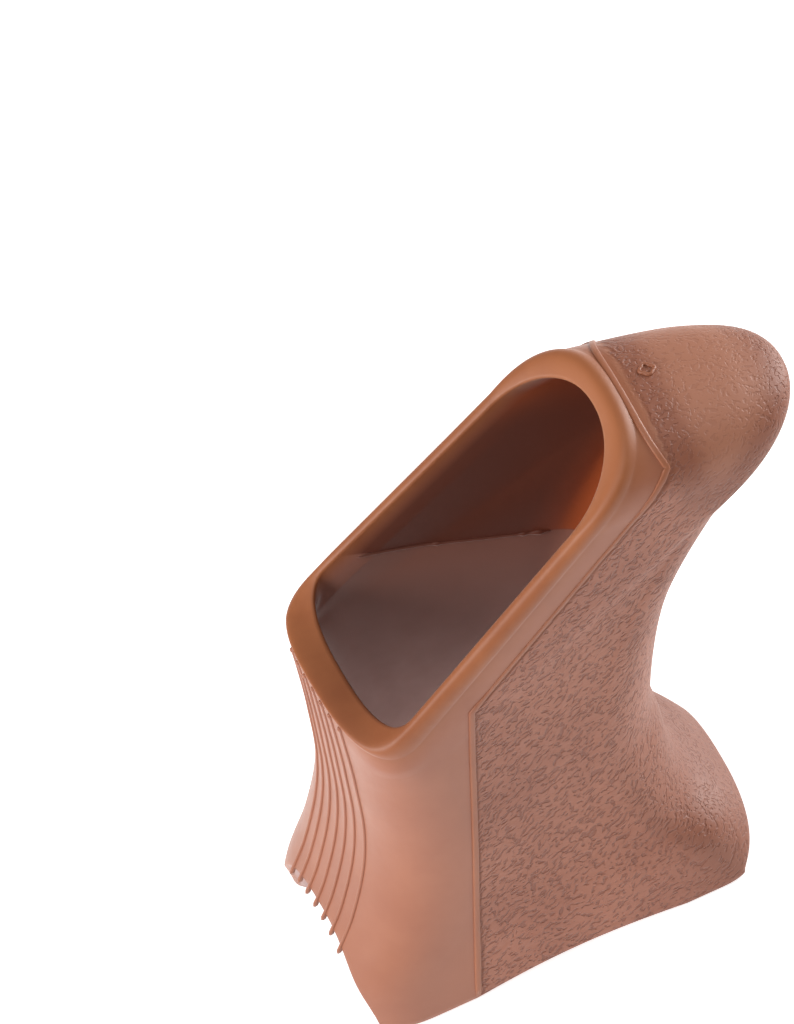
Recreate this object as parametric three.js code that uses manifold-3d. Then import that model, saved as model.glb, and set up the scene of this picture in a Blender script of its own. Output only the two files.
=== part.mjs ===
// Brake lever hood: one moulded rubber boot, open at the lever end and at the bar end.
// Millimetres, +Z up. It stands on the soles of its two side flaps, lever side toward -X,
// thumb side toward +X, and it is symmetric about the XZ plane.
import * as THREE from 'three';
import Module from 'manifold-3d';

// Driving dimensions. Places in the side view are x, z from the foot of the seam line.
const wallThickness = 2.2;
const hemRounding = 0.6;

// Bar end, a saddle over the handlebar
const flapHalfWidth = 15;
const leverFootX = -15.2;
const thumbFootX = 42;
const soleZ = -1.2;
const leverArchHeight = 10.8;
const leverArchHalfWidth = 13;
const thumbArchHeight = 4.6;
const thumbArchHalfWidth = 14.4;
const soleArchRise = 2;

// Lever opening and the lip around it
const openingHalfWidth = 13.3;
const openingTopHalfWidth = 11.8;
const openingLength = 46;
const openingTilt = 34.5;
const openingFootX = -2.7;
const openingFootZ = 46.4;
const openingCornerReach = 5;
const openingRoundReach = 12.5;
const lipDepth = 3.6;
const lipCrest = 0.9;
const lipSwell = 0.5;

// Throat behind the ribbed wall, thumb neck and nose
const throatX = -6.5;
const throatZ = 34.5;
const neckX = 32.7;
const neckZ = 25;
const neckHalfWidth = 12.5;
const noseTipX = 58.8;
const noseTipZ = 63.8;
const noseHalfWidth = 11.6;

// Seam line between the smooth front and the grained back
const seamWidth = 0.9;
const seamHeight = 0.35;
const seamFoot = [0, 0];
const seamBend = [8.2, 47];
const seamCorner = [39.5, 69.4];
const seamTop = [41.4, 74];

// Ribs on the lever side, counted from the middle one outward
const ribsPerSide = 3;
const ribPitch = 2.36;
const ribWidth = 0.7;
const ribHeight = 0.4;
const nubLength = 0.5;

// Mesh fineness
const frontSteps = 10;
const flankSteps = 8;
const roundSteps = 10;
const skinRows = 28;
const lipSteps = 6;
const ribSteps = 12;
const seamSteps = 6;

// Shape of the rounded ends of the sections, and of the arch at each end of the bar end
const frontSquareness = 2.8;
const openingSquareness = 2.6;
const archSquareness = 2.6;
const archDepth = 0.6;

const tilt = THREE.MathUtils.degToRad(openingTilt);
const slope = new THREE.Vector3(Math.cos(tilt), 0, Math.sin(tilt));
const slopeNormal = new THREE.Vector3(-Math.sin(tilt), 0, Math.cos(tilt));

// A side-view place, along the opening's slope from its lower lip and out of its plane
function openingPlace(along, out) {
  return [
    openingFootX + slope.x * along + slopeNormal.x * out,
    openingFootZ + slope.z * along + slopeNormal.z * out,
  ];
}

// Sections of the skin from the bar end to the foot of the lip. In the side view each runs from
// its lever end to its thumb end. front and back are the half widths at the two ends of the
// flank, corner and round are how far the rounded ends reach, and blunt squares the thumb end.
// lift raises the middle of the lever end above the section's own plane.
const stations = [
  {
    lever: [leverFootX, soleZ - 2], thumb: [thumbFootX, soleZ - 2], lift: 0,
    front: flapHalfWidth, back: flapHalfWidth, corner: 11, round: 8.5, blunt: 2.4,
  },
  {
    lever: [leverFootX + 1, 5.5], thumb: [thumbFootX - 3.6, 6], lift: 0,
    front: flapHalfWidth, back: flapHalfWidth - 0.4, corner: 11, round: 9, blunt: 2.4,
  },
  {
    lever: [throatX - 4.6, throatZ - 21.5], thumb: [neckX + 1.6, neckZ - 12.5], lift: 0,
    front: flapHalfWidth, back: neckHalfWidth + 1.2, corner: 11, round: 9, blunt: 2.3,
  },
  {
    lever: [throatX - 1.8, throatZ - 14.3], thumb: [neckX + 0.6, neckZ - 5], lift: 0,
    front: flapHalfWidth, back: neckHalfWidth + 0.3, corner: 11, round: 11, blunt: 2.1,
  },
  {
    lever: [throatX - 0.4, throatZ - 7.5], thumb: [neckX, neckZ + 3], lift: 0,
    front: flapHalfWidth, back: neckHalfWidth, corner: 10.5, round: 12, blunt: 2,
  },
  {
    lever: [throatX, throatZ], thumb: [neckX + 5.2, neckZ + 20], lift: 0.1,
    front: flapHalfWidth, back: neckHalfWidth - 0.6, corner: 10, round: 12, blunt: 2,
  },
  {
    lever: [throatX + 0.1, throatZ + 2.8], thumb: [noseTipX - 9, noseTipZ - 4.4], lift: 0.8,
    front: flapHalfWidth, back: noseHalfWidth - 1.8, corner: 9.5, round: 12, blunt: 2,
  },
  {
    lever: [throatX + 0.1, throatZ + 4.1], thumb: [noseTipX, noseTipZ + 2.2], lift: 2,
    front: flapHalfWidth, back: noseHalfWidth - 1.2, corner: 9, round: 10, blunt: 2.2,
  },
  {
    lever: [throatX + 0.1, throatZ + 5.1], thumb: [noseTipX - 8.8, noseTipZ + 6.4], lift: 3.6,
    front: flapHalfWidth, back: noseHalfWidth + 0.5, corner: 8.5, round: 10, blunt: 2.7,
  },
  {
    lever: [throatX, throatZ + 5.9], thumb: openingPlace(openingLength + 3.2, 2.2 - lipDepth),
    front: flapHalfWidth - 0.2, back: openingTopHalfWidth + 1.6, corner: 8, round: 13, blunt: 2.6,
    lift: 5.7,
  },
];

const halfCount = frontSteps + flankSteps + roundSteps;
const columnCount = 2 * halfCount;

// Smooth passage between b and c
function catmullRom(a, b, c, d, t) {
  const square = 2 * a - 5 * b + 4 * c - d;
  const cube = 3 * b - a - 3 * c + d;
  return 0.5 * (2 * b + (c - a) * t + square * t ** 2 + cube * t ** 3);
}

// The section at v, from 0 at the bar end to 1 at the foot of the lip
function sectionAt(v) {
  const last = stations.length - 1;
  const place = v * last;
  const index = THREE.MathUtils.clamp(Math.floor(place), 0, last - 1);
  const near = [-1, 0, 1, 2].map((step) => stations[THREE.MathUtils.clamp(index + step, 0, last)]);
  const blend = (pick) => catmullRom(...near.map(pick), place - index);
  const lever = new THREE.Vector3(blend((s) => s.lever[0]), 0, blend((s) => s.lever[1]));
  const thumb = new THREE.Vector3(blend((s) => s.thumb[0]), 0, blend((s) => s.thumb[1]));
  return {
    lever,
    thumb,
    length: lever.distanceTo(thumb),
    front: blend((s) => s.front),
    back: blend((s) => s.back),
    corner: blend((s) => s.corner),
    lift: blend((s) => s.lift),
    round: blend((s) => s.round),
    blunt: blend((s) => s.blunt),
    square: frontSquareness,
  };
}

// One place of a section's half outline as [along, across], from the middle of the lever end
// (index 0) round the corner, the flank and the thumb end (index halfCount)
function outlinePlace(section, index) {
  const flankEnd = section.length - section.round;
  if (index < frontSteps) {
    const angle = (Math.PI / 2) * (index / frontSteps);
    return [
      section.corner * (1 - Math.cos(angle) ** (2 / section.square)),
      section.front * Math.sin(angle) ** (2 / section.square),
    ];
  }
  if (index < frontSteps + flankSteps) {
    const share = (index - frontSteps) / flankSteps;
    return [
      THREE.MathUtils.lerp(section.corner, flankEnd, share),
      THREE.MathUtils.lerp(section.front, section.back, share),
    ];
  }
  const angle = (Math.PI / 2) * ((index - frontSteps - flankSteps) / roundSteps);
  return [
    flankEnd + section.round * Math.sin(angle) ** (2 / section.blunt),
    section.back * Math.max(0, Math.cos(angle)) ** (2 / section.blunt),
  ];
}

function placeOn(section, along, across) {
  const point = section.lever.clone().lerp(section.thumb, along / section.length);
  point.y = across;
  point.z += section.lift * Math.max(0, 1 - along / section.corner) ** 2;
  return point;
}

// Columns run from the middle of the lever end along the near side (-Y) and back on the far side
function foldColumn(column) {
  const wrapped = THREE.MathUtils.euclideanModulo(column, columnCount);
  return wrapped <= halfCount ? [wrapped, -1] : [columnCount - wrapped, 1];
}

function skinPoint(v, column) {
  const section = sectionAt(v);
  const [index, side] = foldColumn(column);
  const [along, across] = outlinePlace(section, index);
  return placeOn(section, along, side * across);
}

// Height of the hem at a place of the half outline: an arch over the handlebar in each end wall,
// a level sole at each corner of the flaps and a low arch between the soles
function hemHeight(index) {
  const share = (index - frontSteps) / flankSteps;
  if (share >= 0 && share <= 1) {
    const level = Math.sin(Math.PI / flankSteps);
    const rise = Math.max(0, Math.sin(Math.PI * share) - level - 1e-6);
    return soleZ + (soleArchRise * rise) / (1 - level);
  }
  const [, across] = outlinePlace(sectionAt(0), index);
  const [height, halfWidth] = share < 0
    ? [leverArchHeight, leverArchHalfWidth]
    : [thumbArchHeight, thumbArchHalfWidth];
  return soleZ + height * (1 - Math.min(1, across / halfWidth) ** archSquareness) ** archDepth;
}

// Where between low and high a question turns from true to false, found by halving
function turningPoint(low, high, question) {
  for (let i = 0; i < 40; i += 1) {
    const middle = (low + high) / 2;
    if (question(middle)) low = middle;
    else high = middle;
  }
  return low;
}

// Rings of points from the hem up the skin, over the lip and down the inside
function bootRings() {
  const columns = [...Array(columnCount).keys()];
  const hem = columns.map((column) => hemHeight(foldColumn(column)[0]));
  const starts = columns.map((column) => (
    turningPoint(0, 0.6, (v) => skinPoint(v, column).z < hem[column] + hemRounding)
  ));
  const skin = [];
  for (let row = 0; row <= skinRows; row += 1) {
    const share = row / skinRows;
    skin.push(columns.map((column) => (
      skinPoint(THREE.MathUtils.lerp(starts[column], 1, share), column)
    )));
  }
  const inside = insideRings(skin);
  return [
    ...hemRings(skin[0], inside[inside.length - 1], hem),
    ...skin,
    ...lipRings(skin),
    ...inside,
  ];
}

// Outward normals of a grid of rings, by differences of its neighbours
function ringNormals(rings) {
  const last = rings.length - 1;
  return rings.map((ring, row) => ring.map((point, column) => {
    const up = rings[Math.min(last, row + 1)][column].clone();
    up.sub(rings[Math.max(0, row - 1)][column]);
    const round = ring[(column + 1) % columnCount].clone();
    round.sub(ring[(column + columnCount - 1) % columnCount]);
    return round.cross(up).normalize();
  }));
}

// Every second ring of the skin set in by the wall, from below the lip down to the hem
function insideRings(skin) {
  const normals = ringNormals(skin);
  const rings = [];
  for (let row = skinRows - 2; row >= 0; row -= 2) {
    rings.push(skin[row].map((point, column) => (
      point.clone().addScaledVector(normals[row][column], -wallThickness)
    )));
  }
  return rings;
}

// The lip turns from the skin's last ring over a crest to the sharp edge of the opening
function lipRings(skin) {
  const opening = {
    lever: new THREE.Vector3(...spread(openingPlace(0, 0))),
    thumb: new THREE.Vector3(...spread(openingPlace(openingLength, 0))),
    length: openingLength,
    front: openingHalfWidth,
    back: openingTopHalfWidth,
    corner: openingCornerReach,
    lift: 0,
    round: openingRoundReach,
    blunt: 2.1,
    square: openingSquareness,
  };
  const curves = skin[skinRows].map((foot, column) => {
    const [index, side] = foldColumn(column);
    const [along, across] = outlinePlace(opening, index);
    const edge = placeOn(opening, along, side * across);
    const outward = foot.clone().sub(edge);
    outward.addScaledVector(slopeNormal, -outward.dot(slopeNormal));
    const rising = foot.clone().addScaledVector(slopeNormal, 0.6 * lipDepth);
    rising.addScaledVector(outward.clone().normalize(), lipSwell);
    const crest = edge.clone().addScaledVector(slopeNormal, lipCrest);
    crest.addScaledVector(outward, 0.7);
    return new THREE.CubicBezierCurve3(foot, rising, crest, edge);
  });
  const rings = [];
  for (let step = 1; step <= lipSteps; step += 1) {
    rings.push(curves.map((curve) => curve.getPoint(step / lipSteps)));
  }
  return rings;
}

function spread([x, z]) {
  return [x, 0, z];
}

// The hem's level under-face, between a rounding to the skin and one to the inside
function hemRings(skinRing, insideRing, hem) {
  const level = (share) => skinRing.map((point, column) => {
    const place = point.clone().lerp(insideRing[column], share);
    place.z = hem[column];
    return place;
  });
  return [level(1 - 0.5 * (hemRounding / wallThickness)), level(hemRounding / wallThickness)];
}

// Closed body from rings joined side by side, the last one to the first
function joinRings(rings) {
  const positions = rings.flat().flatMap((point) => point.toArray());
  const indices = [];
  const count = rings[0].length;
  rings.forEach((ring, row) => {
    const nextRow = (row + 1) % rings.length;
    ring.forEach((point, column) => {
      const nextColumn = (column + 1) % count;
      const a = row * count + column;
      const b = row * count + nextColumn;
      const c = nextRow * count + nextColumn;
      const d = nextRow * count + column;
      indices.push(a, b, c, a, c, d);
    });
  });
  const geometry = new THREE.BufferGeometry();
  geometry.setAttribute('position', new THREE.Float32BufferAttribute(positions, 3));
  geometry.setIndex(indices);
  return geometry;
}

// Outward normal of the skin at v on a column, which need not be a whole one
function skinNormal(v, column) {
  const up = skinPoint(Math.min(1, v + 0.004), column).sub(skinPoint(v - 0.004, column));
  const round = skinPoint(v, column + 0.1).sub(skinPoint(v, column - 0.1));
  return round.cross(up).normalize();
}

// Ridge laid along places of the skin given as [v, column], sunk into the wall at its base and
// run on past its first place, and past its last one if asked, by the length of a nub
function ridge(places, width, height, bothEnds) {
  const depth = 0.25 * wallThickness;
  const points = places.map(([v, column]) => skinPoint(v, column));
  const normals = places.map(([v, column]) => skinNormal(v, column));
  const last = points.length - 1;
  points[0].lerp(points[1], -nubLength / points[0].distanceTo(points[1]));
  if (bothEnds) {
    points[last].lerp(points[last - 1], -nubLength / points[last].distanceTo(points[last - 1]));
  }
  const profile = [[-0.55, -depth], [0.55, -depth], [0.3, height], [-0.3, height]];
  const rings = points.map((point, i) => {
    const ahead = points[Math.min(last, i + 1)].clone().sub(points[Math.max(0, i - 1)]);
    const sideways = normals[i].clone().cross(ahead).normalize();
    return profile.map(([across, up]) => (
      point.clone().addScaledVector(sideways, across * width).addScaledVector(normals[i], up)
    ));
  });
  const count = profile.length;
  const indices = [0, 2, 1, 0, 3, 2];
  for (let i = 0; i < last; i += 1) {
    for (let side = 0; side < count; side += 1) {
      const a = i * count + side;
      const b = i * count + ((side + 1) % count);
      indices.push(a, b, b + count, a, b + count, a + count);
    }
  }
  indices.push(...[0, 1, 2, 0, 2, 3].map((corner) => last * count + corner));
  const geometry = new THREE.BufferGeometry();
  const positions = rings.flat().flatMap((point) => point.toArray());
  geometry.setAttribute('position', new THREE.Float32BufferAttribute(positions, 3));
  geometry.setIndex(indices);
  return geometry;
}

// Column at which the rounded lever end of the section at v is y across
function leverColumn(v, y) {
  const section = sectionAt(v);
  const angle = Math.asin((Math.abs(y) / section.front) ** (section.square / 2));
  return -Math.sign(y) * frontSteps * (angle / (Math.PI / 2));
}

// Places of one rib, a straight line seen from the lever side, from the hem up to the lip
function ribPlaces(rank) {
  const y = rank * ribPitch;
  const foot = turningPoint(0, 0.6, (v) => {
    const column = leverColumn(v, y);
    return skinPoint(v, column).z < hemHeight(Math.abs(column));
  });
  return [...Array(ribSteps + 1).keys()].map((step) => {
    const v = THREE.MathUtils.lerp(foot, 0.985, step / ribSteps);
    return [v, leverColumn(v, y)];
  });
}

// The v of the section whose line in the side view runs through a place
function sectionThrough([x, z]) {
  return turningPoint(0, 1, (v) => {
    const { lever, thumb } = sectionAt(v);
    return (z - lever.z) * (thumb.x - lever.x) > (x - lever.x) * (thumb.z - lever.z);
  });
}

// Column, counted on the near side, of the skin beside a place in the side view
function flankColumn(v, [x, z]) {
  const { lever, length, corner, round, blunt } = sectionAt(v);
  const along = Math.hypot(x - lever.x, z - lever.z);
  const flankEnd = length - round;
  if (along < flankEnd) {
    return frontSteps + (flankSteps * (along - corner)) / (flankEnd - corner);
  }
  const angle = Math.asin(Math.min(1, (along - flankEnd) / round) ** (blunt / 2));
  return frontSteps + flankSteps + roundSteps * (angle / (Math.PI / 2));
}

function placesBetween(from, to, count) {
  return [...Array(count).keys()].map((step) => {
    const place = from.map((value, axis) => THREE.MathUtils.lerp(value, to[axis], step / count));
    const v = sectionThrough(place);
    return [v, flankColumn(v, place)];
  });
}

// The seam climbs each flank, bends along the lip and crosses between the lip and the nose
function seamPlaces() {
  const near = [
    ...placesBetween(seamFoot, seamBend, 2 * seamSteps),
    ...placesBetween(seamBend, seamCorner, 2 * seamSteps),
  ];
  const corner = sectionThrough(seamCorner);
  const cornerColumn = flankColumn(corner, seamCorner);
  const top = sectionThrough(seamTop);
  for (let step = 0; step < seamSteps; step += 1) {
    const share = step / seamSteps;
    near.push([
      THREE.MathUtils.lerp(corner, top, Math.sin((Math.PI / 2) * share)),
      THREE.MathUtils.lerp(cornerColumn, halfCount, share),
    ]);
  }
  const far = near.map(([v, column]) => [v, columnCount - column]).reverse();
  return [...near, [top, halfCount], ...far];
}

const wasm = await Module();
wasm.setup();

function solidOf(geometry) {
  return new wasm.Manifold(new wasm.Mesh({
    numProp: 3,
    vertProperties: geometry.attributes.position.array,
    triVerts: new Uint32Array(geometry.index.array),
  }));
}

let solid = solidOf(joinRings(bootRings()));
solid = solid.add(solidOf(ridge(seamPlaces(), seamWidth, seamHeight, true)));
for (let rank = -ribsPerSide; rank <= ribsPerSide; rank += 1) {
  solid = solid.add(solidOf(ridge(ribPlaces(rank), ribWidth, ribHeight, false)));
}

// The moulded body, stood on its soles with its middle over the origin
const moulded = solid.getMesh();
const body = new THREE.BufferGeometry();
body.setAttribute('position', new THREE.BufferAttribute(moulded.vertProperties, 3));
body.setIndex(new THREE.BufferAttribute(moulded.triVerts, 1));
body.computeBoundingBox();
const middle = body.boundingBox.getCenter(new THREE.Vector3());
body.translate(-middle.x, -middle.y, -body.boundingBox.min.z);

const rubber = new THREE.MeshStandardMaterial({ color: 0xa5694c, roughness: 0.55, metalness: 0 });

const leverHood = new THREE.Mesh(body, rubber);
leverHood.name = 'lever_hood';

const hood = new THREE.Group();
hood.add(leverHood);

export default hood;
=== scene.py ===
"""Brake lever hood: one moulded rubber boot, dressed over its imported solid.

The boot is lofted again at a fine pitch, in millimetres in the side-view frame of the solid
(x, z from the foot of the seam line, y across), and then set in metres in the row frame.
"""

import math

import bpy
import numpy as np
from mathutils import Matrix, Vector


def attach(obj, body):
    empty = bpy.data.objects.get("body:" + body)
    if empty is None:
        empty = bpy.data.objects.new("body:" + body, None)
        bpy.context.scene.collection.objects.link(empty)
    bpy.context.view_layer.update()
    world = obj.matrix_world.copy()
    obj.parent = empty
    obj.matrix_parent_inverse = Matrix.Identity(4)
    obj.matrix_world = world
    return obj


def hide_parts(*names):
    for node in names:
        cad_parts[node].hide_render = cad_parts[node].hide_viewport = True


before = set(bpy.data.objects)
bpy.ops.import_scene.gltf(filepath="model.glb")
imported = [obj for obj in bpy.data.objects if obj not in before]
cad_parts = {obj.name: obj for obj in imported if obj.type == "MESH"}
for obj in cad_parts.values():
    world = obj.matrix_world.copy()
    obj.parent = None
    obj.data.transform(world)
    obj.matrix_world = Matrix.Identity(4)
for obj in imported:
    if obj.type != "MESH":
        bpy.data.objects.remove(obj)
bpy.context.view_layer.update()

MM = 0.001

# The skin and its hem, in mm
WALL = 2.2
HEM_ROUNDING = 0.6
SHOULDER_IN, SHOULDER_UP = 0.55, 0.25
FLAP_HALF_WIDTH = 15.0
LEVER_FOOT_X = -15.8
THUMB_FOOT_X = 43.6
SOLE_Z = -1.2
THROAT = (-6.5, 34.5)
NECK = (32.4, 25.0)
NECK_HALF_WIDTH = 12.5
NOSE_ROOT = (39.5, 45.2)
NOSE_TIP = (58.8, 63.8)
NOSE_HALF_WIDTH = 11.6
FRONT_SQUARENESS = 2.8
MIDDLE_X = 22.74

# Arches over the handlebar: height, half width and squareness
LEVER_ARCH = (10.8, 13.0, 2.8)
THUMB_ARCH = (4.6, 14.4, 2.6)
ARCH_DEPTH = 0.6
SOLE_ARCH_RISE = 1.1
LEVEL_SOLE_SHARE = 1 / 8

# The lever opening, in mm
OPENING_HALF_WIDTH = 13.3
OPENING_TOP_HALF_WIDTH = 11.8
OPENING_LENGTH = 46.0
OPENING_TILT = math.radians(34.5)
OPENING_FOOT = (-2.7, 46.4)
OPENING_CORNER = 5.0
OPENING_ROUND = 12.5
OPENING_SQUARENESS = 2.6
OPENING_BLUNTNESS = 2.1

# The lip, from the skin up to its crest and down to the opening's edge. Where its foot lies
# LIP_FLAT_ABOVE mm over that edge or more, it climbs and swells less by the two losses
LIP_DEPTH = 3.6
LIP_FLAT_ABOVE = 1.9
LIP_CLIMB, LIP_CLIMB_LOSS = 0.5, 0.3
LIP_SWELL, LIP_SWELL_LOSS = 0.75, 0.5
LIP_CREST, LIP_CREST_GAIN, LIP_CREST_REACH = 0.8, 0.8, 0.8
RIM_DEPTH, RIM_INSET = 0.35, 0.05
UNDER_LIP = 0.5

# Raised lines, in mm
SEAM = ((0.0, 0.0), (8.2, 47.0), (39.5, 69.4), (39.7, 73.8))
SEAM_WIDTH = 0.8
SEAM_HEIGHT = 0.24
SEAM_NARROWING = 0.4
RIBS_PER_SIDE = 3
RIB_PITCH = 2.36
RIB_WIDTH = 0.44
RIB_HEIGHT = 0.24
RIB_TOP, RIB_TOP_WIDER, RIB_TOP_HIGHER = (0.95, 0.985), 0.7, 0.8
RIB_FOOT, RIB_FOOT_THICKER = (0.0, 0.035), 0.25
NUB = 0.4
INNER_LINE = ((5.4, 49.9), (28.3, 43.1))
INNER_LINE_WIDTH = 0.3
INNER_LINE_HEIGHT = 0.13
INNER_LINE_LUMPS = ((0.94, 0.03, 1.4), (0.86, 0.012, 1.2), (0.42, 0.015, 0.9))
WALL_SINK = 0.05
FLANK_WALL_FROM = 7

# The ring of the mould's gate, in mm. GATE_SPAN turns a distance across into columns
GATE = (43.0, 2.9)
GATE_SPAN = 60.0
GATE_RADIUS = 0.85
GATE_FOUR_SIDED = 0.12
GATE_LINE_WIDTH, GATE_LINE_HEIGHT = 0.26, 0.24
GATE_LIFT = 0.02

# Fineness of the grid
FRONT, FLANK, ROUND = 34, 56, 44
SKIN_ROWS, LIP_ROWS, INSIDE_ROWS = 150, 26, 60
HALF = FRONT + FLANK + ROUND
COLUMNS = 2 * HALF
ROWS_UNDER_LIP = 6
CORE_EASING_ROUNDS = 16
HALVINGS = 40
HEM_BELOW = 0.6
RIB_POINTS, SEAM_POINTS, SEAM_TOP_POINTS, INNER_LINE_POINTS = 70, 60, 40, 70
GATE_ROUNDS, GATE_TUBE = 36, 10

# Zones of the looks, in mm, rows or shares of the columns, and what they take off the grain
GRAIN_EDGE = (0.2, 0.9)
NOSE_FROM_ROOT, NOSE_GRAIN_LOSS = (-4, 8), 0.35
TOP_SLOPE, TOP_ZONE, TOP_GRAIN_LOSS = 0.45, (38.0, 47.0), 0.6
HEEL_X, HEEL_Z, HEEL_GRAIN_LOSS = (20.0, 36.0), (22.0, 40.0), 0.45
LIP_TONE_START, LIP_TONE_ROWS, LIP_TONE_REACH = 0.6, 8, 2.5
INNER_HEM_ROWS = 3
# Where the painted glow of light through the nose's wall starts and ends
GLOW_FROM_FLANK, GLOW_TO_ROUND = 0.8, 0.4
# Painted shade on the seam and the gate ring, as a share of the lip's colour
LINE_SHADE_TONE = 0.35

# Colours of the rubber as red, green and blue up to 255, a pair where patches of two mix
PLAIN = ((164, 103, 76), (154, 93, 67))
GRAINED = ((168, 107, 83), (154, 94, 71))
LIP = ((160, 94, 54), (146, 82, 46))
# The inside is painted pale where light comes in from below
INSIDE_LIT_FROM_BELOW = ((184, 146, 138), (166, 128, 120))
# Painted shade of a shallow groove on the grained side of the seam
GRAIN_BORDER_SHADE = (142, 84, 60)
GRAIN_FADE = (168, 110, 84)
# Painted shade in the creases of the grain
CREASE_SHADE = (98, 46, 32)
# Painted shade inside, up to the core's line and over it
INSIDE_SHADE_UNDER_LINE = (138, 92, 78)
INSIDE_SHADE_OVER_LINE = (98, 52, 38)
# Painted orange glow of light through the nose's wall
INSIDE_GLOW = (158, 74, 34)

# Grain of the rubber: noise scales per metre, the lean and the stretch of its strokes, the
# painted shade in its creases and the share of each layer in its relief
WANDER_SCALE, WANDER_REACH = 260.0, 0.0022
STROKE_SCALE, PEBBLE_SCALE, FINE_SCALE, SATIN_SCALE, PATCH_SCALE = 2500.0, 900.0, 5200.0, 900.0, 60.0
STROKE_LEAN = math.radians(-24)
STROKE_STRETCH = (2.0, 1.3, 1.0)
VALLEY_RANGE = (0.34, 0.5)
CREASE_SHADE_TONE = 0.42
VALLEY_RELIEF, PEBBLE_RELIEF, FINE_RELIEF, SATIN_RELIEF = 0.8, 0.9, 0.12, 0.05
BUMP_STRENGTH, BUMP_DISTANCE = 0.85, 0.00022

# Roughness of the plain skin, and what the grain, the lip and its unevenness add
ROUGHNESS, GRAIN_ROUGHER, LIP_ROUGHER, UNEVENNESS = 0.4, 0.12, 0.12, 0.14

# The ground and the world: how bright each is as a lamp, and as what the camera sees
GROUND_TONE, GROUND_GLOW, GROUND_GLOW_SEEN = 0.8, 0.52, 0.8
GROUND_REACH = 3.0
WORLD_LIGHT, WORLD_SEEN = 0.2, 1.0

# Lamps: name, place and width in metres, power in watts
LAMPS = (
    ("key", (-0.9, -0.12, 0.45), 0.5, 8.6),
    ("top", (-0.1, -0.2, 1.0), 0.8, 3.0),
    ("rim", (0.8, 0.3, 0.22), 0.5, 8.0),
)
LAMP_TARGET = (0.0, 0.0, 0.04)

# Camera of the photograph: unit vectors to its right and up, its scale and its frame
CAMERA_RIGHT = Vector((0.90318, -0.39397, -0.17048)).normalized()
CAMERA_UP = Vector((0.40747, 0.66186, 0.62921)).normalized()
CAMERA_DISTANCE = 0.6
PIXELS_PER_MM = 8.4437
SEAM_FOOT_PIXEL = (428.44, 909.82)
PICTURE = (794, 1024)

SLOPE = np.array([math.cos(OPENING_TILT), 0.0, math.sin(OPENING_TILT)])
SLOPE_NORMAL = np.array([-math.sin(OPENING_TILT), 0.0, math.cos(OPENING_TILT)])


def opening_place(along, out):
    """A side-view place, along the opening's slope from its lower lip and out of its plane"""
    return (
        OPENING_FOOT[0] + SLOPE[0] * along + SLOPE_NORMAL[0] * out,
        OPENING_FOOT[1] + SLOPE[2] * along + SLOPE_NORMAL[2] * out,
    )


def station(lever, thumb, lift, front, back, corner, round_, blunt):
    """A section: side-view places of its lever and thumb ends, the lift of its lever end, its
    half widths at the two ends of the flank, the lengths of its roundings and the thumb end's
    bluntness"""
    return [*lever, *thumb, lift, front, back, corner, round_, blunt]


def from_(place, dx, dz):
    """The side-view place that lies dx and dz from another"""
    return (place[0] + dx, place[1] + dz)


# Sections of the skin from the bar end to the foot of the lip
STATIONS = np.array([
    station((LEVER_FOOT_X, SOLE_Z - 2), (THUMB_FOOT_X, SOLE_Z - 2), 0,
            FLAP_HALF_WIDTH, FLAP_HALF_WIDTH, 11, 10.5, 2.0),
    station((LEVER_FOOT_X + 0.8, 5.5), (THUMB_FOOT_X - 5.9, 6), 0,
            FLAP_HALF_WIDTH, FLAP_HALF_WIDTH - 0.3, 11, 8.8, 2.7),
    station(from_(THROAT, -4.6, -21.5), from_(NECK, 1.2, -13), 0,
            FLAP_HALF_WIDTH, NECK_HALF_WIDTH + 1.2, 11, 9, 2.3),
    station(from_(THROAT, -1.8, -14.3), from_(NECK, 0.6, -5), 0,
            FLAP_HALF_WIDTH, NECK_HALF_WIDTH + 0.3, 11, 11, 2.1),
    station(from_(THROAT, -0.4, -7.5), from_(NECK, 0.8, 3), 0,
            FLAP_HALF_WIDTH, NECK_HALF_WIDTH, 10.5, 12, 2),
    station(THROAT, NOSE_ROOT, 0.1,
            FLAP_HALF_WIDTH, NECK_HALF_WIDTH - 0.7, 10, 13, 2),
    station(from_(THROAT, 0.1, 2.8), from_(NOSE_TIP, -6.5, -4), 0.8,
            FLAP_HALF_WIDTH, NOSE_HALF_WIDTH - 0.4, 9.5, 17, 1.9),
    station(from_(THROAT, 0.1, 4.1), from_(NOSE_TIP, 0, 1.9), 2,
            FLAP_HALF_WIDTH, NOSE_HALF_WIDTH - 0.2, 9, 15, 2.1),
    station(from_(THROAT, 0.1, 5.1), from_(NOSE_TIP, -6, 5.9), 3.6,
            FLAP_HALF_WIDTH, NOSE_HALF_WIDTH + 0.6, 8.5, 13, 2.3),
    station(from_(THROAT, 0, 5.9), opening_place(OPENING_LENGTH + 3.2, 2.2 - LIP_DEPTH), 5.7,
            FLAP_HALF_WIDTH - 0.2, OPENING_TOP_HALF_WIDTH + 1.6, 9.5, 13, 2.6),
])
FIELDS = ("lx", "lz", "tx", "tz", "lift", "front", "back", "corner", "round", "blunt")


def section_at(v):
    """The sections at an array of v, from 0 at the bar end to 1 at the foot of the lip"""
    last = len(STATIONS) - 1
    place = np.asarray(v, float) * last
    index = np.clip(np.floor(place).astype(int), 0, last - 1)
    t = (place - index)[..., None]
    a, b, c, d = (STATIONS[np.clip(index + step, 0, last)] for step in (-1, 0, 1, 2))
    mixed = 0.5 * (2 * b + (c - a) * t + (2 * a - 5 * b + 4 * c - d) * t ** 2
                   + (3 * b - a - 3 * c + d) * t ** 3)
    section = {name: mixed[..., i] for i, name in enumerate(FIELDS)}
    section["length"] = np.hypot(section["tx"] - section["lx"], section["tz"] - section["lz"])
    section["square"] = FRONT_SQUARENESS
    return section


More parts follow.
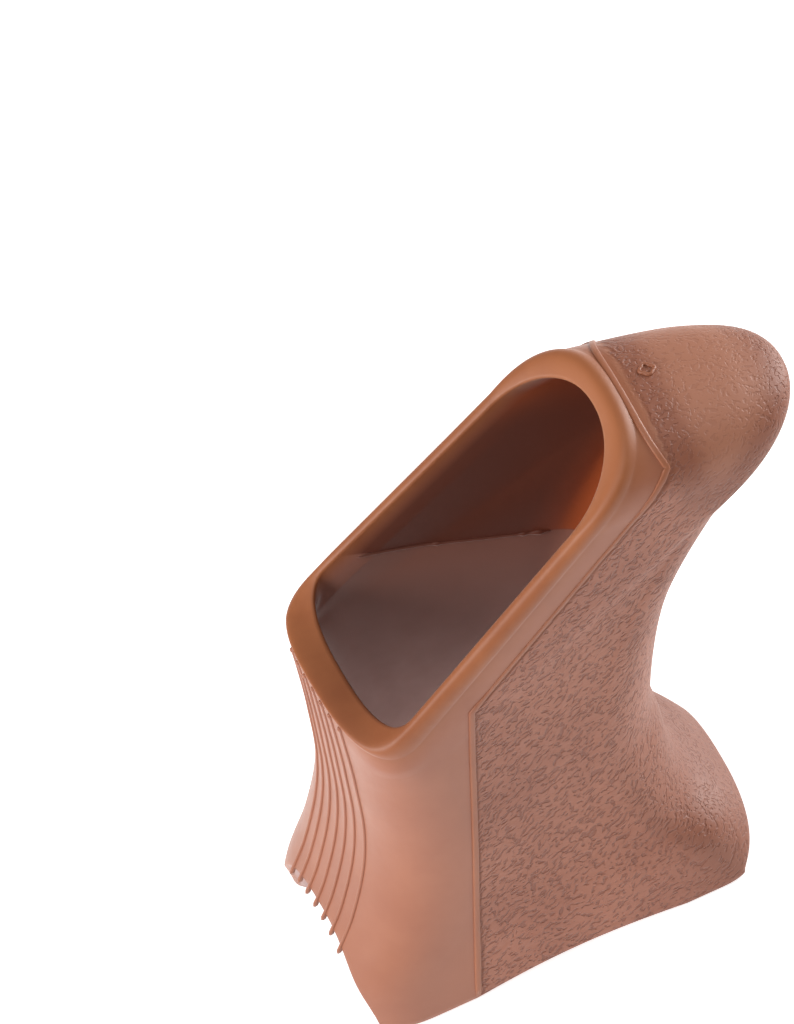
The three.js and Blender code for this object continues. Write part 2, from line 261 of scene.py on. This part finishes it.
def outline_place(s, index):
    """Places of half outlines: along and across, from the middle of the lever end (index 0)"""
    index = np.asarray(index, float)
    flank_end = s["length"] - s["round"]
    turn = np.clip(index / FRONT, 0, 1) * math.pi / 2
    front_along = s["corner"] * (1 - np.maximum(0, np.cos(turn)) ** (2 / s["square"]))
    front_across = s["front"] * np.sin(turn) ** (2 / s["square"])
    share = np.clip((index - FRONT) / FLANK, 0, 1)
    flank_along = s["corner"] + (flank_end - s["corner"]) * share
    flank_across = s["front"] + (s["back"] - s["front"]) * share
    turn = np.clip((index - FRONT - FLANK) / ROUND, 0, 1) * math.pi / 2
    round_along = flank_end + s["round"] * np.sin(turn) ** (2 / s["blunt"])
    round_across = s["back"] * np.maximum(0, np.cos(turn)) ** (2 / s["blunt"])
    in_front = index < FRONT
    in_flank = index < FRONT + FLANK
    along = np.where(in_front, front_along, np.where(in_flank, flank_along, round_along))
    across = np.where(in_front, front_across, np.where(in_flank, flank_across, round_across))
    return along, across


def fold(column):
    """Half-outline index and side of columns counted round the near side and back"""
    wrapped = np.mod(np.asarray(column, float), COLUMNS)
    near = wrapped <= HALF
    return np.where(near, wrapped, COLUMNS - wrapped), np.where(near, -1.0, 1.0)


def place_on(s, along, across):
    """Points in mm of places along and across a section, whose lever end is lifted"""
    share = along / s["length"]
    x = s["lx"] + (s["tx"] - s["lx"]) * share
    z = s["lz"] + (s["tz"] - s["lz"]) * share
    z = z + s["lift"] * np.maximum(0, 1 - along / s["corner"]) ** 2
    return np.stack(np.broadcast_arrays(x, across, z), -1)


def skin_point(v, column):
    """Points of the skin at v up it and at columns round it"""
    s = section_at(v)
    index, side = fold(column)
    along, across = outline_place(s, index)
    return place_on(s, along, side * across)


def unit(a):
    return a / np.maximum(np.linalg.norm(a, axis=-1, keepdims=True), 1e-9)


def skin_normal(v, column):
    """Outward directions of the skin, from small steps up it and round it"""
    up = skin_point(np.minimum(1, v + 0.004), column) - skin_point(v - 0.004, column)
    round_ = skin_point(v, column + 0.3) - skin_point(v, column - 0.3)
    return unit(np.cross(round_, up))


def hem_height(index):
    """Arches over the handlebar in the end walls, level soles and a low arch between them"""
    index = np.asarray(index, float)
    share = (index - FRONT) / FLANK
    level = math.sin(math.pi * LEVEL_SOLE_SHARE)
    rise = np.maximum(0, np.sin(math.pi * np.clip(share, 0, 1)) - level)
    flank = SOLE_Z + SOLE_ARCH_RISE * rise / (1 - level)
    _, across = outline_place(section_at(np.zeros_like(index)), index)

    def arch(height, half_width, squareness):
        inner = 1 - np.minimum(1, across / half_width) ** squareness
        return SOLE_Z + height * inner ** ARCH_DEPTH

    return np.where(share < 0, arch(*LEVER_ARCH), np.where(share > 1, arch(*THUMB_ARCH), flank))


def turning_point(low, high, question):
    """Where between low and high a question turns from true to false, found by halving"""
    for _ in range(HALVINGS):
        middle = (low + high) / 2
        answer = question(middle)
        low = np.where(answer, middle, low)
        high = np.where(answer, high, middle)
    return low


def bezier(a, b, c, d, t):
    return (1 - t) ** 3 * a + 3 * (1 - t) ** 2 * t * b + 3 * (1 - t) * t ** 2 * c + t ** 3 * d


def smooth(x, low, high):
    """An eased step from 0 at low to 1 at high"""
    t = np.clip((x - low) / (high - low), 0, 1)
    return t * t * (3 - 2 * t)


def side_distance(x, z):
    """Signed distance in the side view from the seam line, positive on the grained side"""
    best = np.full(np.shape(x), 1e9)
    sign = np.ones(np.shape(x))
    for (ax, az), (bx, bz) in zip(SEAM[:-1], SEAM[1:]):
        ux, uz = bx - ax, bz - az
        t = np.clip(((x - ax) * ux + (z - az) * uz) / (ux * ux + uz * uz), 0, 1)
        dx, dz = x - ax - t * ux, z - az - t * uz
        far = np.hypot(dx, dz)
        side = ux * (z - az) - uz * (x - ax)
        closer = far < best
        best = np.where(closer, far, best)
        sign = np.where(closer, np.where(side < 0, 1.0, -1.0), sign)
    return best * sign


def relaxed(rings):
    """Rings eased along and around, as the smooth core of the mould leaves them"""
    rings = rings.copy()
    for _ in range(CORE_EASING_ROUNDS):
        rings[1:-1] = 0.25 * (rings[:-2] + 2 * rings[1:-1] + rings[2:])
        around = np.roll(rings, 1, axis=1) + np.roll(rings, -1, axis=1)
        rings[1:-1] = 0.5 * rings[1:-1] + 0.25 * around[1:-1]
    return rings


def opening_edge(index, side):
    """The edge of the lever opening, in its slanted plane"""
    top = opening_place(OPENING_LENGTH, 0)
    opening = {
        "lx": OPENING_FOOT[0], "lz": OPENING_FOOT[1], "tx": top[0], "tz": top[1],
        "length": OPENING_LENGTH, "front": OPENING_HALF_WIDTH, "back": OPENING_TOP_HALF_WIDTH,
        "corner": OPENING_CORNER, "lift": 0.0, "round": OPENING_ROUND,
        "blunt": OPENING_BLUNTNESS, "square": OPENING_SQUARENESS,
    }
    along, across = outline_place(opening, index)
    return place_on(opening, along, side * across)


def lip_over(skin, edge):
    """Rings of the lip from the top of the skin over its crest to the edge, and its inner rim"""
    foot = skin[-1]
    outward = foot - edge
    outward = outward - (outward @ SLOPE_NORMAL)[:, None] * SLOPE_NORMAL
    reach = np.linalg.norm(outward, axis=1, keepdims=True)
    outward = unit(outward)
    tangent = unit(skin[-1] - skin[-4])
    chord = np.linalg.norm(edge - foot, axis=1, keepdims=True)
    above = ((foot - edge) @ SLOPE_NORMAL)[:, None]
    flat = np.clip(above / LIP_FLAT_ABOVE, 0, 1)
    rising = (foot + tangent * (LIP_CLIMB - LIP_CLIMB_LOSS * flat) * chord
              + outward * (LIP_SWELL - LIP_SWELL_LOSS * flat))
    crest = (edge + SLOPE_NORMAL * (LIP_CREST + LIP_CREST_GAIN * np.maximum(0, above))
             + outward * LIP_CREST_REACH * reach)
    t = np.linspace(0, 1, LIP_ROWS + 1)[1:, None, None]
    lip = bezier(foot, rising, crest, edge, t)
    return lip, edge - SLOPE_NORMAL * RIM_DEPTH - outward * RIM_INSET


def zones_of(rings, skin, index, hem_rows):
    """Shares from 0 to 1 that tell the material where the grain, lip, inside and painted glow are"""
    foot_row = hem_rows + SKIN_ROWS
    lip_row = foot_row + 1
    under_row = lip_row + LIP_ROWS + 1
    outer = slice(hem_rows, lip_row)

    grain = np.zeros((len(rings), COLUMNS))
    grain[outer] = smooth(side_distance(skin[..., 0], skin[..., 2]), *GRAIN_EDGE)
    grain[hem_rows - 1] = grain[hem_rows]
    grain[hem_rows - 2] = 0.5 * grain[hem_rows]
    x, z = rings[..., 0], rings[..., 2]
    nose = smooth(x, *(NOSE_ROOT[0] + distance for distance in NOSE_FROM_ROOT))
    top = smooth(z - TOP_SLOPE * x, *TOP_ZONE) * nose
    heel = smooth(x, *HEEL_X) * (1 - smooth(z, *HEEL_Z))
    for zone, loss in ((nose, NOSE_GRAIN_LOSS), (top, TOP_GRAIN_LOSS), (heel, HEEL_GRAIN_LOSS)):
        grain = grain * (1 - loss * zone)

    lip = np.zeros_like(grain)
    near_foot = 1 - np.linalg.norm(skin - skin[-1], axis=-1) / LIP_TONE_REACH
    lip[outer] = LIP_TONE_START * np.clip(near_foot, 0, 1)
    full_row = lip_row + LIP_TONE_ROWS
    lip[lip_row:full_row] = np.linspace(LIP_TONE_START, 1, LIP_TONE_ROWS)[:, None]
    lip[full_row:under_row] = 1

    inner = np.zeros_like(grain)
    inner[under_row:] = 1
    inner[:INNER_HEM_ROWS] = 1
    glow = inner * smooth(index, FRONT + GLOW_FROM_FLANK * FLANK,
                          FRONT + FLANK + GLOW_TO_ROUND * ROUND)
    return {"grain": grain, "lip": lip, "inner": inner, "glow": glow}


def boot_rings():
    """Rings from the hem up the skin, over the lip and down the inside, with their zones"""
    columns = np.arange(COLUMNS)
    index, side = fold(columns)
    hem = hem_height(index)
    start = turning_point(np.zeros(COLUMNS), np.full(COLUMNS, HEM_BELOW),
                          lambda v: skin_point(v, columns)[:, 2] < hem + HEM_ROUNDING)
    share = np.linspace(0, 1, SKIN_ROWS + 1)[:, None]
    v = start + (1 - start) * share
    skin = skin_point(v, np.broadcast_to(columns, v.shape))
    up = np.gradient(skin, axis=0)
    round_ = np.roll(skin, -1, axis=1) - np.roll(skin, 1, axis=1)
    normals = unit(np.cross(round_, up))

    lip, rim = lip_over(skin, opening_edge(index, side))
    rows = np.linspace(SKIN_ROWS - ROWS_UNDER_LIP, 0, INSIDE_ROWS).round().astype(int)
    inside = relaxed(skin[rows] - WALL * normals[rows])
    under = 0.5 * (rim + inside[0]) - SLOPE_NORMAL * UNDER_LIP

    def level(share):
        """The flat ring of the hem at a share of the wall, from the skin inwards"""
        ring = skin[0] + (inside[-1] - skin[0]) * share
        ring[:, 2] = hem
        return ring

    def shoulder(from_ring, share):
        """The ring that rounds one edge of the hem"""
        ring = from_ring + (level(share) - from_ring) * SHOULDER_IN
        ring[:, 2] = hem + (from_ring[:, 2] - hem) * SHOULDER_UP
        return ring

    rounding = HEM_ROUNDING / WALL
    hem_rings = [
        shoulder(inside[-1], 1 - 0.5 * rounding), level(1 - 0.5 * rounding), level(0.5),
        level(rounding), shoulder(skin[0], rounding),
    ]
    rings = np.array([*hem_rings, *skin, *lip, rim, under, *inside])
    return rings, zones_of(rings, skin, index, len(hem_rings)), inside


def ridge(points, normals, widths, heights, rounded=8, flatness=0.9):
    """A raised line with a rounded top along points of a surface, closed at both ends"""
    points, normals = np.array(points), np.array(normals)
    ahead = unit(np.gradient(points, axis=0))
    sideways = unit(np.cross(normals, ahead))
    angles = np.linspace(0, math.pi, rounded)
    across = np.concatenate([np.cos(angles) * 0.5, [-0.5, 0.5]])
    up = np.concatenate([np.sin(angles) ** flatness, [-1.0, -1.0]])
    widths = np.asarray(widths)[:, None, None]
    heights = np.asarray(heights)[:, None, None]
    verts = (points[:, None] + sideways[:, None] * across[None, :, None] * widths
             + normals[:, None] * up[None, :, None] * heights)
    count = len(across)
    faces = []
    for i in range(len(points) - 1):
        for k in range(count):
            a, b = i * count + k, i * count + (k + 1) % count
            faces.append((a, a + count, b + count, b))
    faces.append(tuple(range(count)))
    faces.append(tuple(reversed(range((len(points) - 1) * count, len(points) * count))))
    return verts.reshape(-1, 3), faces


def eased_ends(count, first, last, low=0.25):
    """Width factors that round off the ends of a ridge over its first and last points"""
    i = np.arange(count)
    value = np.ones(count)
    for steps, reach in ((i, first), (count - 1 - i, last)):
        value = np.minimum(value, low + (1 - low) * np.sqrt(np.clip(steps / reach, 0, 1)))
    return value


def lever_column(v, y):
    """Columns of the lever end at a distance y from its middle"""
    s = section_at(v)
    angle = np.arcsin(np.clip(np.abs(y) / s["front"], 0, 1) ** (s["square"] / 2))
    return -np.sign(y) * FRONT * angle / (math.pi / 2)


def rib(rank):
    """One rib of the lever end, from a nub at the hem up to the lip, where it swells"""
    y = rank * RIB_PITCH
    foot = turning_point(np.array(0.0), np.array(HEM_BELOW), lambda v: (
        skin_point(v, lever_column(v, y))[..., 2] < hem_height(np.abs(lever_column(v, y)))))
    v = np.linspace(float(foot), 1.0, RIB_POINTS)
    columns = lever_column(v, y)
    points = skin_point(v, columns)
    normals = skin_normal(v, columns)
    down = unit(points[0] - points[1])
    points = np.vstack([points[0] + down * NUB, points])
    normals = np.vstack([normals[0], normals])
    share = np.linspace(0, 1, len(points))
    top = smooth(share, *RIB_TOP)
    foot_nub = 1 + RIB_FOOT_THICKER * (1 - smooth(share, *RIB_FOOT))
    ends = eased_ends(len(points), 1, 2, 0.5)
    return ridge(points, normals, RIB_WIDTH * (1 + RIB_TOP_WIDER * top) * foot_nub * ends,
                 RIB_HEIGHT * (1 + RIB_TOP_HIGHER * top) * foot_nub * ends)


def section_through(x, z):
    """The v of the sections that pass through side-view places"""
    def above(v):
        s = section_at(v)
        return (z - s["lz"]) * (s["tx"] - s["lx"]) > (x - s["lx"]) * (s["tz"] - s["lz"])
    return turning_point(np.zeros(np.shape(x)), np.ones(np.shape(x)), above)


def flank_column(v, x, z):
    """The columns of the near side at side-view places of the sections at v"""
    s = section_at(v)
    along = np.hypot(x - s["lx"], z - s["lz"])
    flank_end = s["length"] - s["round"]
    straight = FRONT + FLANK * (along - s["corner"]) / (flank_end - s["corner"])
    turn = np.clip((along - flank_end) / s["round"], 0, 1) ** (s["blunt"] / 2)
    turned = FRONT + FLANK + ROUND * np.arcsin(turn) / (math.pi / 2)
    return np.where(along < flank_end, straight, turned)


def seam():
    """The seam climbs each flank, bends along the lip and crosses between lip and nose"""
    v, columns = [], []
    t = np.linspace(0, 1, SEAM_POINTS, endpoint=False)
    for (ax, az), (bx, bz) in zip(SEAM[:2], SEAM[1:3]):
        x, z = ax + (bx - ax) * t, az + (bz - az) * t
        at = section_through(x, z)
        v.append(at)
        columns.append(flank_column(at, x, z))
    corner, top = (section_through(np.array(x), np.array(z)) for x, z in SEAM[2:])
    corner_column = flank_column(corner, *SEAM[2])
    t = np.linspace(0, 1, SEAM_TOP_POINTS, endpoint=False)
    v.append(corner + (top - corner) * np.sin(math.pi / 2 * t))
    columns.append(corner_column + (HALF - corner_column) * t)
    v, columns = np.concatenate(v), np.concatenate(columns)
    v = np.concatenate([v, [float(top)], v[::-1]])
    columns = np.concatenate([columns, [HALF], COLUMNS - columns[::-1]])
    points = skin_point(v, columns)
    normals = skin_normal(v, columns)
    for end, next_ in ((0, 1), (-1, -2)):
        points[end] += unit(points[end] - points[next_]) * NUB
    ends = eased_ends(len(points), 2, 2, 0.6)
    climb = 1 - SEAM_NARROWING * smooth(points[:, 2], SEAM[1][1], SEAM[1][1] + 2) * (
        1 - smooth(points[:, 2], SEAM[2][1] - 5, SEAM[2][1]))
    return ridge(points, normals, SEAM_WIDTH * climb * ends, SEAM_HEIGHT * climb * ends,
                 rounded=10, flatness=0.45)


def inner_line(inside):
    """The faint line that the core of the mould leaves across the inside of each flank"""
    parts = []
    (ax, az), (bx, bz) = INNER_LINE
    t = np.linspace(0, 1, INNER_LINE_POINTS)
    x, z = ax + (bx - ax) * t, az + (bz - az) * t
    thickness = np.ones_like(t)
    for place, width, gain in INNER_LINE_LUMPS:
        thickness = thickness + gain * np.exp(-((t - place) / width) ** 2)
    thickness = thickness * eased_ends(len(t), 4, 4)
    for side in (-1.0, 1.0):
        wall = inside.reshape(-1, 3)
        wall = wall[wall[:, 1] * side > FLANK_WALL_FROM]
        far = np.hypot(wall[None, :, 0] - x[:, None], wall[None, :, 2] - z[:, None])
        near = 1 / (far + 0.05) ** 4
        y = (near * wall[None, :, 1]).sum(1) / near.sum(1)
        points = np.stack([x, y - WALL_SINK * side, z], -1)
        normals = np.broadcast_to(np.array([0.0, -side, 0.0]), points.shape)
        parts.append(ridge(points, normals, INNER_LINE_WIDTH * thickness,
                           INNER_LINE_HEIGHT * thickness))
    return parts


def gate_mark():
    """The small plain ring that the gate of the mould leaves on top, behind the seam"""
    x, y = GATE
    v = turning_point(np.array(0.75), np.array(1.0), lambda at: (
        skin_point(at, HALF + 0.0)[..., 0] > x))
    columns = HALF + ROUND * (y / GATE_SPAN)
    centre = skin_point(v, columns)
    normal = skin_normal(v, columns)
    side = unit(np.cross(normal, [0.0, 1.0, 0.0]))
    other = np.cross(normal, side)
    verts, faces = [], []
    for i in range(GATE_ROUNDS):
        a = 2 * math.pi * i / GATE_ROUNDS
        reach = GATE_RADIUS * (1 + GATE_FOUR_SIDED * math.cos(4 * a))
        out = math.cos(a) * side + math.sin(a) * other
        for k in range(GATE_TUBE):
            b = 2 * math.pi * k / GATE_TUBE
            verts.append(centre + out * (reach + GATE_LINE_WIDTH * math.cos(b))
                         + normal * (GATE_LIFT + GATE_LINE_HEIGHT * math.sin(b)))
            here, ahead = i * GATE_TUBE, (i + 1) % GATE_ROUNDS * GATE_TUBE
            next_ = (k + 1) % GATE_TUBE
            faces.append((here + k, ahead + k, ahead + next_, here + next_))
    return np.array(verts), faces


def to_row_frame(points):
    return (points + np.array([-MIDDLE_X, 0.0, -SOLE_Z])) * MM


def mesh_object(name, parts):
    """One object from parts of (points in mm, faces, {attribute: values})"""
    verts, faces, offset = [], [], 0
    fields = {"grain": [], "lip": [], "inner": [], "glow": []}
    for points, part_faces, values in parts:
        verts.append(points)
        faces.extend(tuple(int(i) + offset for i in face) for face in part_faces)
        offset += len(points)
        for key, store in fields.items():
            store.append(np.broadcast_to(values.get(key, 0.0), len(points)))
    mesh = bpy.data.meshes.new(name)
    mesh.from_pydata(to_row_frame(np.vstack(verts)).tolist(), [], faces)
    for key, store in fields.items():
        layer = mesh.attributes.new(key, "FLOAT", "POINT")
        layer.data.foreach_set("value", np.concatenate(store).astype(np.float32))
    mesh.polygons.foreach_set("use_smooth", [True] * len(mesh.polygons))
    mesh.validate()
    mesh.update()
    piece = bpy.data.objects.new(name, mesh)
    bpy.context.scene.collection.objects.link(piece)
    return piece


def grid_faces(rows, columns):
    """The faces of rings of points, closed round each ring and from the last to the first"""
    i = np.arange(rows * columns).reshape(rows, columns)
    right = np.roll(i, -1, axis=1)
    down = np.roll(i, -1, axis=0)
    diagonal = np.roll(down, -1, axis=1)
    return np.stack([i, right, diagonal, down], -1).reshape(-1, 4)


class Nodes:
    """Short calls for building one material's node tree"""

    def __init__(self, name):
        self.material = bpy.data.materials.new(name)
        self.material.use_nodes = True
        self.tree = self.material.node_tree
        self.tree.nodes.clear()

    def add(self, kind, values=None, **settings):
        node = self.tree.nodes.new(kind)
        for key, value in settings.items():
            setattr(node, key, value)
        for key, value in (values or {}).items():
            if isinstance(value, bpy.types.NodeSocket):
                self.tree.links.new(value, node.inputs[key])
            else:
                node.inputs[key].default_value = value
        return node

    def math(self, operation, a, b):
        return self.add("ShaderNodeMath", {0: a, 1: b}, operation=operation).outputs[0]

    def vector(self, operation, a, b, slot=1):
        node = self.add("ShaderNodeVectorMath", {0: a, slot: b}, operation=operation)
        return node.outputs["Value" if operation == "DOT_PRODUCT" else "Vector"]

    def attribute(self, name):
        return self.add("ShaderNodeAttribute", attribute_name=name).outputs["Fac"]

    def noise(self, vector, scale, detail=2.0, rough=0.5, distortion=0.0, output="Fac"):
        node = self.add("ShaderNodeTexNoise", {"Vector": vector, "Scale": scale, "Detail": detail,
                                               "Roughness": rough, "Distortion": distortion})
        return node.outputs[output]

    def ramp(self, value, low, high, to_low=0.0, to_high=1.0):
        return self.add("ShaderNodeMapRange", {"Value": value, "From Min": low, "From Max": high,
                                               "To Min": to_low, "To Max": to_high},
                        interpolation_type="SMOOTHSTEP").outputs["Result"]

    def mix(self, factor, a, b):
        return self.add("ShaderNodeMix", {0: factor, 6: a, 7: b}, data_type="RGBA").outputs[2]


def colour(rgb):
    """A colour written up to 255, as Blender's linear one"""
    def linear(c):
        c /= 255
        return c / 12.92 if c <= 0.04045 else ((c + 0.055) / 1.055) ** 2.4
    return (*(linear(c) for c in rgb), 1.0)


def rubber():
    """Gum rubber: satin skin, leather grain behind the seam, duller lip, and an inside painted pale low
    down as light from below and dark higher up as shade
    """
    n = Nodes("gum_rubber")
    coordinates = n.add("ShaderNodeTexCoord").outputs["Object"]
    grain, lip, inner, glow = (n.attribute(name) for name in ("grain", "lip", "inner", "glow"))

    # Leather grain: fine pebbles parted by short creases that run uphill
    wander = n.noise(coordinates, WANDER_SCALE, output="Color")
    wander = n.vector("SUBTRACT", wander, (0.5, 0.5, 0.5))
    bent = n.vector("ADD", coordinates, n.vector("SCALE", wander, WANDER_REACH, "Scale"))
    turned = n.add("ShaderNodeMapping", {
        "Vector": bent, "Rotation": (0.0, STROKE_LEAN, 0.0), "Scale": STROKE_STRETCH,
    }, vector_type="TEXTURE").outputs["Vector"]
    valley = n.ramp(n.noise(turned, STROKE_SCALE, 1.0, 0.4, 0.2), *VALLEY_RANGE)
    pebble = n.noise(turned, PEBBLE_SCALE, 2.0, 0.5, 0.2)
    fine = n.noise(coordinates, FINE_SCALE, 2.0, 0.6)
    satin = n.noise(coordinates, SATIN_SCALE, 3.0, 0.6)
    height = n.math("ADD", n.math("MULTIPLY", valley, VALLEY_RELIEF),
                    n.math("MULTIPLY", pebble, PEBBLE_RELIEF))
    height = n.math("ADD", height, n.math("MULTIPLY", fine, FINE_RELIEF))
    strength = n.math("MULTIPLY", grain, n.ramp(grain, 0.0, 0.9, 0.55, 1.0))
    height = n.math("ADD", n.math("MULTIPLY", height, strength),
                    n.math("MULTIPLY", satin, SATIN_RELIEF))

    # Outside: patchy tones, a darker border beside the seam painted as the shade of a groove, a paler
    # fade beside the seam, and painted shade in the creases
    patches = n.noise(coordinates, PATCH_SCALE, 4.0, 0.6)
    wide, narrow = n.ramp(patches, 0.3, 0.7), n.ramp(patches, 0.35, 0.65)
    plain = n.mix(wide, colour(PLAIN[0]), colour(PLAIN[1]))
    grained = n.mix(wide, colour(GRAINED[0]), colour(GRAINED[1]))
    grained = n.mix(n.ramp(grain, 0.9, 0.6), grained, colour(GRAIN_BORDER_SHADE))
    grained = n.mix(n.ramp(grain, 0.5, 0.25), grained, colour(GRAIN_FADE))
    # Painted shade in the creases
    crease_shade = n.math("MULTIPLY", n.math("SUBTRACT", 1.0, valley), CREASE_SHADE_TONE)
    grained = n.mix(n.math("MULTIPLY", crease_shade, grain), grained, colour(CREASE_SHADE))
    skin = n.mix(n.ramp(grain, 0.0, 0.2), plain, grained)
    skin = n.mix(lip, skin, n.mix(narrow, colour(LIP[0]), colour(LIP[1])))

    # Inside: painted light from below that darkens up to the core's line as painted shade, dark painted
    # shade over it, and a painted glow of light through the nose's wall
    (ax, az), (bx, bz) = INNER_LINE
    line_slope = (bz - az) / (bx - ax)
    line_height = (az - SOLE_Z - line_slope * (ax - MIDDLE_X)) * MM
    inside = n.mix(narrow, colour(INSIDE_LIT_FROM_BELOW[0]), colour(INSIDE_LIT_FROM_BELOW[1]))
    ahead = n.vector("DOT_PRODUCT", coordinates, (-line_slope, 0.0, 1.0))
    upper = n.ramp(ahead, line_height - 0.2 * MM, line_height + 0.2 * MM)
    inside = n.mix(n.ramp(ahead, line_height - 30 * MM, line_height), inside,
                   colour(INSIDE_SHADE_UNDER_LINE))
    inside = n.mix(upper, inside, colour(INSIDE_SHADE_OVER_LINE))
    inside = n.mix(n.math("MULTIPLY", glow, upper), inside, colour(INSIDE_GLOW))

    roughness = n.math("ADD", n.ramp(grain, 0.0, 0.3, 0.0, GRAIN_ROUGHER), ROUGHNESS)
    roughness = n.math("ADD", roughness, n.math("MULTIPLY", lip, LIP_ROUGHER))
    uneven = n.math("MULTIPLY", n.math("SUBTRACT", satin, 0.5), UNEVENNESS)
    roughness = n.math("ADD", roughness, uneven)

    bump = n.add("ShaderNodeBump", {"Height": height, "Strength": BUMP_STRENGTH,
                                    "Distance": BUMP_DISTANCE})
    shader = n.add("ShaderNodeBsdfPrincipled", {
        "Base Color": n.mix(inner, skin, inside), "Roughness": roughness,
        "Normal": bump.outputs["Normal"], "Specular IOR Level": 0.5,
        "Sheen Weight": 0.1, "Sheen Roughness": 0.4, "Sheen Tint": (1.0, 0.88, 0.84, 1.0),
    })
    n.add("ShaderNodeOutputMaterial", {"Surface": shader.outputs[0]})
    return n.material


def paper():
    """White ground that reads as white to the camera and still takes a soft shadow"""
    n = Nodes("white_ground")
    path = n.add("ShaderNodeLightPath")
    seen = n.math("MAXIMUM", path.outputs["Is Camera Ray"], path.outputs["Is Glossy Ray"])
    seen = n.math("MAXIMUM", seen, path.outputs["Is Transmission Ray"])
    ground = n.add("ShaderNodeBsdfDiffuse", {"Color": (*[GROUND_TONE] * 3, 1.0)})
    strength = n.ramp(seen, 0.0, 1.0, GROUND_GLOW, GROUND_GLOW_SEEN)
    glow = n.add("ShaderNodeEmission", {"Color": (1.0, 1.0, 1.0, 1.0), "Strength": strength})
    both = n.add("ShaderNodeAddShader", {0: ground.outputs[0], 1: glow.outputs[0]})
    n.add("ShaderNodeOutputMaterial", {"Surface": both.outputs[0]})
    return n.material


def build_hood():
    """The boot with its seam, ribs, inner line and gate ring, as one piece"""
    rings, zones, inside = boot_rings()
    parts = [(rings.reshape(-1, 3), grid_faces(len(rings), COLUMNS),
              {name: values.ravel() for name, values in zones.items()})]
    # The seam takes painted shade, a share of the lip's colour
    parts.append((*seam(), {"lip": LINE_SHADE_TONE}))
    for rank in range(-RIBS_PER_SIDE, RIBS_PER_SIDE + 1):
        parts.append((*rib(rank), {}))
    for line in inner_line(inside):
        parts.append((*line, {"inner": 1.0}))
    # The gate ring takes the same painted shade
    parts.append((*gate_mark(), {"lip": LINE_SHADE_TONE}))
    hood = mesh_object("hood_skin", parts)
    hood.data.materials.append(rubber())
    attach(hood, "root")
    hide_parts("lever_hood")


def area_light(name, place, size, power):
    """A soft round lamp that faces the hood"""
    lamp = bpy.data.lights.new(name, "AREA")
    lamp.shape = "DISK"
    lamp.size = size
    lamp.energy = power
    holder = bpy.data.objects.new(name, lamp)
    holder.location = place
    toward = Vector(LAMP_TARGET) - Vector(place)
    holder.rotation_euler = toward.to_track_quat("-Z", "Y").to_euler()
    bpy.context.scene.collection.objects.link(holder)


def studio():
    """The white ground, the world and the lamps"""
    mesh = bpy.data.meshes.new("ground")
    corners = [(x * GROUND_REACH, y * GROUND_REACH, 0) for x, y in ((-1, -1), (1, -1), (1, 1), (-1, 1))]
    mesh.from_pydata(corners, [], [(0, 1, 2, 3)])
    ground = bpy.data.objects.new("ground", mesh)
    ground.data.materials.append(paper())
    bpy.context.scene.collection.objects.link(ground)

    world = bpy.data.worlds.new("studio")
    world.use_nodes = True
    tree = world.node_tree
    background = tree.nodes["Background"]
    background.inputs["Color"].default_value = (1.0, 1.0, 1.0, 1.0)
    path = tree.nodes.new("ShaderNodeLightPath")
    strength = tree.nodes.new("ShaderNodeMapRange")
    strength.inputs["To Min"].default_value = WORLD_LIGHT
    strength.inputs["To Max"].default_value = WORLD_SEEN
    tree.links.new(path.outputs["Is Camera Ray"], strength.inputs["Value"])
    tree.links.new(strength.outputs["Result"], background.inputs["Strength"])
    bpy.context.scene.world = world

    for lamp in LAMPS:
        area_light(*lamp)


def camera():
    """An orthographic camera at the photograph's angle, placed by the foot of the seam"""
    back = CAMERA_RIGHT.cross(CAMERA_UP).normalized()
    up = back.cross(CAMERA_RIGHT)
    origin = Vector(to_row_frame(np.zeros(3)).tolist())
    across = (PICTURE[0] / 2 - SEAM_FOOT_PIXEL[0]) / PIXELS_PER_MM * MM
    above = (SEAM_FOOT_PIXEL[1] - PICTURE[1] / 2) / PIXELS_PER_MM * MM
    data = bpy.data.cameras.new("camera")
    data.type = "ORTHO"
    data.ortho_scale = PICTURE[1] / PIXELS_PER_MM * MM
    data.clip_start = 0.01
    data.clip_end = 20.0
    holder = bpy.data.objects.new("camera", data)
    place = origin + CAMERA_RIGHT * across + up * above + back * CAMERA_DISTANCE
    turn = Matrix((CAMERA_RIGHT, up, back)).transposed().to_4x4()
    holder.matrix_world = Matrix.Translation(place) @ turn
    bpy.context.scene.collection.objects.link(holder)
    bpy.context.scene.camera = holder


build_hood()
studio()
camera()
bpy.context.scene.view_settings.view_transform = "Standard"
